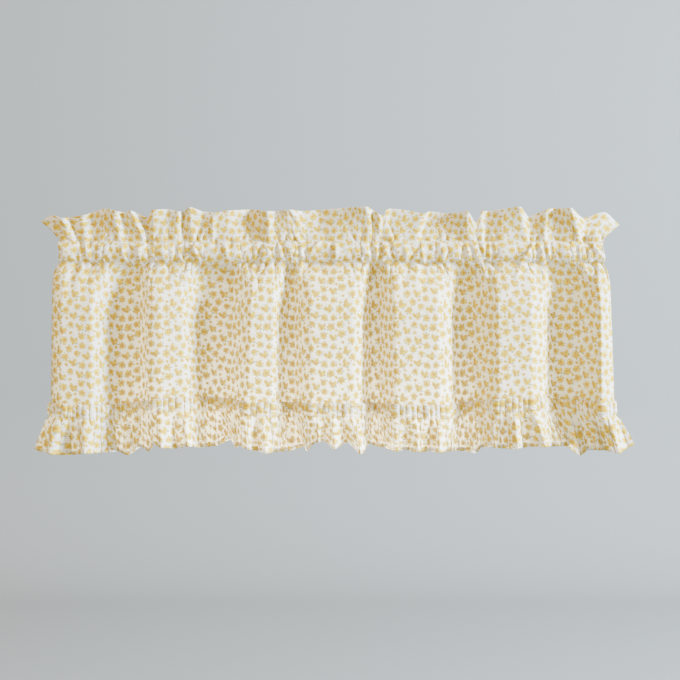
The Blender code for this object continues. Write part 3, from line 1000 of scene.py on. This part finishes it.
@dataclass
class GatheredCloth:
    """The one width of cloth that makes the panel, the rod pocket and the frill."""

    drape: Drape
    columns: int = 616
    side_hem: float = 10 * MM
    side_hem_columns: int = 5
    side_hem_gap: float = 0.5 * MM
    hem_inset: float = 0.5 * MM
    foot_drop: float = 315 * MM
    fine_drop: float = 110 * MM
    back_hem: float = 8 * MM
    back_hem_turn: float = 6 * MM
    fold_rise: float = 0.5 * MM
    length: float = field(default=0.0, init=False)

    def stations(self) -> tuple[Array, Array, Array]:
        """The columns across the width.

        Returns:
            Their shares of the width, how far each lies on the wrong side, and their places when flat.
        """
        hem_run = np.linspace(self.side_hem, self.side_hem_gap, self.side_hem_columns)
        hem_inset = np.full(len(hem_run), self.hem_inset)
        face = np.linspace(0, 1, self.columns)
        width = self.drape.width
        share = np.concatenate((hem_run / width, face, 1 - hem_run[::-1] / width))
        inset = np.concatenate((hem_inset, np.zeros(len(face)), hem_inset))
        flat = np.concatenate((-hem_run, face * width, width + hem_run[::-1]))
        return share, inset, flat

    def rows(self) -> list[tuple[int, float, float]]:
        """Each row's side, drop and inset, from the front's foot over the top to the back's turned hem."""
        upper, lower = self.drape.upper_stitch, self.drape.lower_stitch
        hem_end = lower + self.back_hem
        # Each band's first drop, its last one, which opens the next band, and its count of rows.
        front = (
            (self.foot_drop, self.fine_drop, 42),
            (self.fine_drop, lower, 13),
            (lower, upper, 22),
            (upper, 0, 22),
        )
        back = ((0, upper, 15), (upper, lower, 16))
        rows = [(FRONT, drop, 0.0) for band in front for drop in np.linspace(*band, endpoint=False)]
        rows += [(FRONT, 0.0, 0.0), (FRONT, -self.fold_rise, self.drape.layer_half_gap)]
        rows += [(BACK, drop, 0.0) for band in back for drop in np.linspace(*band, endpoint=False)]
        rows += [(BACK, drop, 0.0) for drop in np.linspace(lower, hem_end, 4)]
        turned = np.linspace(hem_end, hem_end - self.back_hem_turn, 3)
        rows += [(BACK, drop, self.hem_inset) for drop in turned]
        return rows

    def build(self, material: Material) -> Piece:
        """The cloth as one piece.

        Args:
            material: The cloth's material.

        Returns:
            The piece.
        """
        share, inset, across = self.stations()
        points, along, reach, last = [], [], 0.0, None
        for side, drop, row_inset in self.rows():
            points.append(self.drape.layer(share, drop, side, np.maximum(inset, row_inset)))
            swell = float(self.drape.opening(np.array(drop))) * self.drape.pocket_half_depth
            here = (-side * drop, swell)
            if last is not None:
                reach += math.dist(here, last)
            last = here
            along.append(reach)
        flat = np.stack(np.broadcast_arrays(across[None, :], np.array(along)[:, None]), axis=-1)
        self.length = float(reach)
        return sheet_object("gathered_cloth", np.array(points), flat, material)


@dataclass
class Ruffle:
    """The separate strip that is shirred into a band on the panel's foot and hangs free below it."""

    drape: Drape
    columns: int = 1900
    band_rows: int = 13
    skirt_rows: int = 22
    turn_samples: int = 4000
    band_height: float = 22 * MM
    hem_drop: float = 356 * MM
    clearance: float = 1.9 * MM
    rib: float = 5.0 * MM
    ribs: int = 132
    rib_roundness: float = 0.65
    rib_wanders: tuple[Swing, ...] = (Swing(0.55, 43 * MM, 0.0), Swing(0.45, 71 * MM, 1.3))
    rib_strength: float = 0.78
    rib_swell: Swing = Swing(0.22, 29 * MM, 0.7)
    pinched: float = 0.35
    pinch_reach: float = 4 * MM
    rib_opening: float = 8.0
    fullness: float = 1.60
    hem_turn: float = 6 * MM
    hem_steps: Triple = (0.1, 0.55, 1.0)
    hem_inset: float = 0.6 * MM
    tucks: Pair = (2.5 * MM, 0.6 * MM)
    tuck_inset: float = 0.9 * MM
    skirt_ease: float = 0.8
    hem_depth_share: float = 0.8
    turn_depth: float = 1.6
    turn_softness: float = 2 * MM
    rib_fade: float = 20 * MM
    skirt_length: float = 54 * MM
    pleat_pitch: float = 14 * MM
    pleat_depth: float = 4.0 * MM
    pleat_seed: float = 2.2
    pleat_opening: float = 4.0
    pleat_flattening: float = 0.35
    rib_overhang: float = 0.19
    pleat_overhang: float = 0.20
    length: float = field(default=0.0, init=False)

    def __post_init__(self) -> None:
        """Works out the skirt's curves from the table."""
        turns = np.array(RUFFLE_TURNS) * MM
        shares = np.interp(turns[:, 0], self.drape.foot_x, self.drape.shares)
        self.hem_x = smooth_curve(shares, turns[:, 1])
        dense = np.linspace(shares[0], shares[-1], self.turn_samples)
        folded = np.interp(dense, shares, turns[:, 2] * self.turn_depth)
        folded = soften(folded, self.turn_softness, self.drape.width / self.turn_samples)
        self.hem_forward = smooth_curve(dense, folded)
        self.hem_hang = smooth_curve(shares, turns[:, 3])

    def ribbing(self, share: Array) -> tuple[Array, Array]:
        """The band's fine gathers, rounded on top and tight between.

        Args:
            share: Shares of the panel's width.

        Returns:
            Their height from 0 to 1, and how far they push the cloth aside as shares of the width.
        """
        cloth = share * self.drape.width
        phase = math.pi * self.ribs * share + sum(swing.at(cloth) for swing in self.rib_wanders)
        strength = self.rib_strength + self.rib_swell.at(cloth)
        lean = -self.rib_overhang / self.ribs * np.sin(2 * phase)
        return np.abs(np.sin(phase)) ** self.rib_roundness * strength, lean * strength

    def surface(self, share: Array, band_drop: Array, skirt: Array, inset: float = 0.0) -> Array:
        """Points of the ruffle.

        Args:
            share: Shares of the panel's width behind the point.
            band_drop: Drops below the band's top edge, in metres.
            skirt: Shares of the skirt's length, from 0 at the band to 1 at the hem.
            inset: How far the points lie on the wrong side, in metres.

        Returns:
            An array of points, with x, y and z last.
        """
        share, band_drop, skirt = np.broadcast_arrays(share, band_drop, skirt)
        drop = self.drape.band_top + band_drop
        edge = np.minimum(band_drop, self.band_height - band_drop)
        in_band = mix(self.pinched, 1.0, smoothstep(edge / self.pinch_reach))
        in_skirt = mix(self.pinched, 1.0, np.minimum(skirt * self.rib_opening, 1))
        ribbed = np.where(skirt > 0, in_skirt, in_band) * np.exp(-skirt * self.skirt_length / self.rib_fade)
        rib, rib_lean = self.ribbing(share)
        clear = self.drape.layer_half_gap + self.clearance + self.rib * rib * ribbed - inset
        pleated = smoothstep(skirt * self.pleat_opening) * (1 - self.pleat_flattening * skirt)
        pleat, pleat_lean = uneven_wave(share * self.drape.width, self.pleat_pitch, self.pleat_seed)
        pleat_lean = self.pleat_overhang * self.pleat_pitch / self.drape.width * pleat_lean
        share = share + rib_lean * ribbed + pleat_lean * pleated

        seat = self.drape.middle(share, drop) + self.drape.normal(share, drop) * clear[..., None]
        ease = skirt**self.skirt_ease
        x = mix(seat[..., 0], self.hem_x(share), ease)
        y = mix(seat[..., 1], seat[..., 1] * self.hem_depth_share - self.hem_forward(share), ease)
        y = y - self.pleat_depth * pleat * pleated
        z = mix(seat[..., 2], -self.hem_drop - self.hem_hang(share), skirt)
        return np.stack((x, y + inset * ease, z), axis=-1)

    def rows(self) -> list[tuple[float, float, float, float]]:
        """Each row's drop in the band, share of the skirt, inset and place down the flat cloth."""
        rows = [(tuck, 0.0, self.tuck_inset, -tuck) for tuck in self.tucks]
        rows += [(drop, 0.0, 0.0, drop) for drop in np.linspace(0, self.band_height, self.band_rows)]
        for part in np.linspace(0, 1, self.skirt_rows + 1)[1:]:
            rows.append((self.band_height, part, 0.0, self.band_height + part * self.skirt_length))
        for step in self.hem_steps:
            turned = step * self.hem_turn
            place = self.band_height + self.skirt_length + turned
            rows.append((self.band_height, 1 - turned / self.skirt_length, self.hem_inset, place))
        return rows

    def build(self, material: Material) -> Piece:
        """The ruffle as one piece.

        Args:
            material: The cloth's material.

        Returns:
            The piece.
        """
        share = np.linspace(0, 1, self.columns)
        rows = self.rows()
        points = [self.surface(share, *row) for *row, _ in rows]
        along = np.array([-place for *_, place in rows])
        across = share * self.drape.width * self.fullness
        flat = np.stack(np.broadcast_arrays(across[None, :], along[:, None]), axis=-1)
        self.length = float(along.max() - along.min())
        return sheet_object("ruffle_cloth", np.array(points), flat, material)


def at_places(place: Array, run: Array, values: Array) -> Array:
    """Vectors at places along a run, from the vectors at the run's own places."""
    return np.stack([np.interp(place, run, column) for column in values.T], axis=-1)


@dataclass
class Stitching:
    """Rows of short stitches, joined into one piece."""

    name: str
    pitch: float = 3.2 * MM
    stitch: float = 2.3 * MM
    radius: float = 0.22 * MM
    lift: float = 0.12 * MM
    sides: int = 5
    step: float = 0.3 * MM
    # Each ring's place along the stitch, in stitches, and its size and lift, in radii.
    rings: tuple[Triple, ...] = ((-0.5, 0.45, -0.4), (-0.3, 1.0, 0.8), (0.3, 1.0, 0.8), (0.5, 0.45, -0.4))

    def row(self, points: Array, normals: Array) -> Array:
        """The stitches of one row.

        Args:
            points: Dense points along the row.
            normals: The cloth's unit normals there.

        Returns:
            Stitches by corners of points.
        """
        steps = np.linalg.norm(np.diff(points, axis=0), axis=1)
        run = np.concatenate(([0], np.cumsum(steps)))
        centres = np.arange(self.pitch, run[-1] - self.pitch, self.pitch)
        corners = []
        for offset, size, lift in self.rings:
            place = centres + offset * self.stitch
            middle = at_places(place, run, points)
            normal = at_places(place, run, normals)
            ahead = unit(at_places(place + self.step, run, points) - middle)
            aside = unit(np.cross(normal, ahead))
            middle = middle + normal * (self.lift + lift * self.radius)
            for angle in np.arange(self.sides) * 2 * math.pi / self.sides:
                turn = aside * math.cos(angle) + normal * math.sin(angle)
                corners.append(middle + turn * self.radius * size)
        return np.stack(corners, axis=1)

    def build(self, rows: list[tuple[Array, Array]], material: Material) -> Piece:
        """The stitches along some rows.

        Args:
            rows: For each row, dense points along it and the cloth's unit normals there.
            material: The thread's material.

        Returns:
            The piece.
        """
        vertices = np.concatenate([self.row(*row).reshape(-1, 3) for row in rows])
        first = np.arange(0, len(vertices), len(self.rings) * self.sides)[:, None]
        faces = []
        for ring in range(len(self.rings) - 1):
            for side in range(self.sides):
                a = ring * self.sides + side
                b = ring * self.sides + (side + 1) % self.sides
                faces.append(first + np.array([a, b, b + self.sides, a + self.sides]))
        return mesh_object(self.name, vertices.tolist(), np.concatenate(faces).tolist(), material)


@dataclass
class Valance:
    """The whole valance: its gathered cloth, its ruffle and its sewing."""

    drape: Drape = field(default_factory=Drape)
    stitch_samples: int = 2600
    stitch_margin: float = 0.002
    seam_gap: float = 0.4 * MM
    band_seams: Pair = (3 * MM, 19 * MM)
    hem_seam: float = 0.93

    def seam_shares(self) -> Array:
        """Shares of the width along a row of stitching."""
        return np.linspace(self.stitch_margin, 1 - self.stitch_margin, self.stitch_samples)

    def pocket_rows(self) -> list[tuple[Array, Array]]:
        """Points and normals along the pocket's two rows of stitching, on the front and the back."""
        share = self.seam_shares()
        rows = []
        for side in (FRONT, BACK):
            for drop in (self.drape.upper_stitch - self.seam_gap, self.drape.lower_stitch + self.seam_gap):
                rows.append((self.drape.layer(share, drop, side), side * self.drape.normal(share, drop)))
        return rows

    def ruffle_rows(self, ruffle: Ruffle) -> list[tuple[Array, Array]]:
        """Points and normals along the band's two rows of stitching and the hem's one."""
        share = self.seam_shares()
        seams = [*((drop, 0.0) for drop in self.band_seams), (ruffle.band_height, self.hem_seam)]
        rows = []
        for band_drop, skirt in seams:
            here = ruffle.surface(share, band_drop, skirt)
            rows.append((here, unit(np.cross(np.gradient(here, axis=0), (0.0, 0.0, 1.0)))))
        return rows

    def build(self) -> None:
        """Builds the pieces, gives each its body, and logs the flat sizes of the two cloths."""
        cotton = PrintedCotton().build()
        thread = SewingThread().build()
        cloth = GatheredCloth(self.drape)
        ruffle = Ruffle(self.drape)
        gathered_cloth = cloth.build(cotton)
        ruffle_cloth = ruffle.build(cotton)
        pocket_stitches = Stitching("pocket_stitches").build(self.pocket_rows(), thread)
        ruffle_stitches = Stitching("ruffle_stitches").build(self.ruffle_rows(ruffle), thread)
        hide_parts("heading", "panel")
        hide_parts("ruffle")
        width = self.drape.width
        cut = (width + 2 * cloth.side_hem, cloth.length)
        width * ruffle.fullness
        for piece in (gathered_cloth, ruffle_cloth, pocket_stitches, ruffle_stitches):
            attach(piece, "root")
            LOG.info("%s: %d faces", piece.name, len(piece.data.polygons))
        LOG.info("flat cloth %.0f x %.0f mm", cut[0] / MM, cut[1] / MM)
        LOG.info("flat ruffle %.0f x %.0f mm", width * ruffle.fullness / MM, ruffle.length / MM)


class Lamp(NamedTuple):
    """A soft rectangular lamp: its place, its aim, its width and height, its power in watts and its tint."""

    name: str
    place: Triple
    aim: Triple
    size: Pair
    power: float
    tint: Triple
    seen: bool = True

    def build(self) -> None:
        """Adds the lamp to the scene."""
        light = bpy.data.lights.new(self.name, "AREA")
        light.shape = "RECTANGLE"
        light.size, light.size_y = self.size
        light.energy = self.power
        light.color = self.tint
        lamp = linked(self.name, light)
        lamp.location = self.place
        lamp.rotation_mode = "QUATERNION"
        lamp.rotation_quaternion = (Vector(self.aim) - Vector(self.place)).to_track_quat("-Z", "Y")
        lamp.visible_camera = self.seen


LAMPS = (
    Lamp("key", (3.8, -1.24, 0.9), (0.0, 0.0, -0.2), (1.0, 1.2), 1240.0, (0.75, 0.87, 1.0)),
    Lamp("fill", (-1.8, -2.6, 0.4), (0.0, 0.0, -0.2), (2.2, 2.0), 72.0, (1.0, 0.79, 0.46)),
    Lamp("back", (-0.02, 0.12, -0.41), (-0.02, 0.0, -0.30), (0.56, 0.05), 11.0, (0.98, 0.99, 1.0), False),
    Lamp("sky", (0.0, 0.6, 3.2), (0.0, 0.4, -1.0), (3.5, 3.0), 40.0, (1.0, 0.95, 0.88)),
)


@dataclass
class Studio:
    """A plain pale sweep of paper, soft lamps and the camera."""

    floor_z: float = -1.0
    wall_y: float = 2.6
    bend: float = 0.6
    bend_steps: int = 16
    half_width: float = 6.0
    near_y: float = -5.0
    top_z: float = 4.5
    lens: float = 70.0
    sensor: float = 36.0
    camera_place: Triple = (0.0138, -2.022, -0.202)
    air_tint: Triple = (1.0, 0.82, 0.47)
    air_strength: float = 1.16

    def sweep(self) -> None:
        """The floor that bends up into the backdrop."""
        turn = np.linspace(0, math.pi / 2, self.bend_steps + 1)
        y = self.wall_y - self.bend + self.bend * np.sin(turn)
        z = self.floor_z + self.bend - self.bend * np.cos(turn)
        y = np.concatenate(([self.near_y], y, [self.wall_y])).tolist()
        z = np.concatenate(([self.floor_z], z, [self.top_z])).tolist()
        vertices = [(x, *place) for place in zip(y, z) for x in (-self.half_width, self.half_width)]
        faces = [(2 * i, 2 * i + 1, 2 * i + 3, 2 * i + 2) for i in range(len(y) - 1)]
        sweep = mesh_object("studio_sweep", vertices, faces, StudioPaper().build())

    def camera(self) -> None:
        """The camera, level and straight in front, as in the photograph."""
        data = bpy.data.cameras.new("camera")
        data.lens = self.lens
        data.sensor_width = self.sensor
        camera = linked("camera", data)
        camera.location = self.camera_place
        camera.rotation_euler = (math.pi / 2, 0.0, 0.0)
        bpy.context.scene.camera = camera

    def build(self) -> None:
        """The whole studio."""
        self.camera()
        self.sweep()
        for lamp in LAMPS:
            lamp.build()
        world = bpy.data.worlds.new("studio_air")
        world.use_nodes = True
        air = world.node_tree.nodes["Background"].inputs
        air["Color"].default_value = (*self.air_tint, 1.0)
        air["Strength"].default_value = self.air_strength
        bpy.context.scene.world = world


def main() -> None:
    """Builds the valance and the studio."""
    logging.basicConfig(level=logging.INFO, format="%(message)s")
    Studio().build()
    Valance().build()


if __name__ == "__main__":
    main()
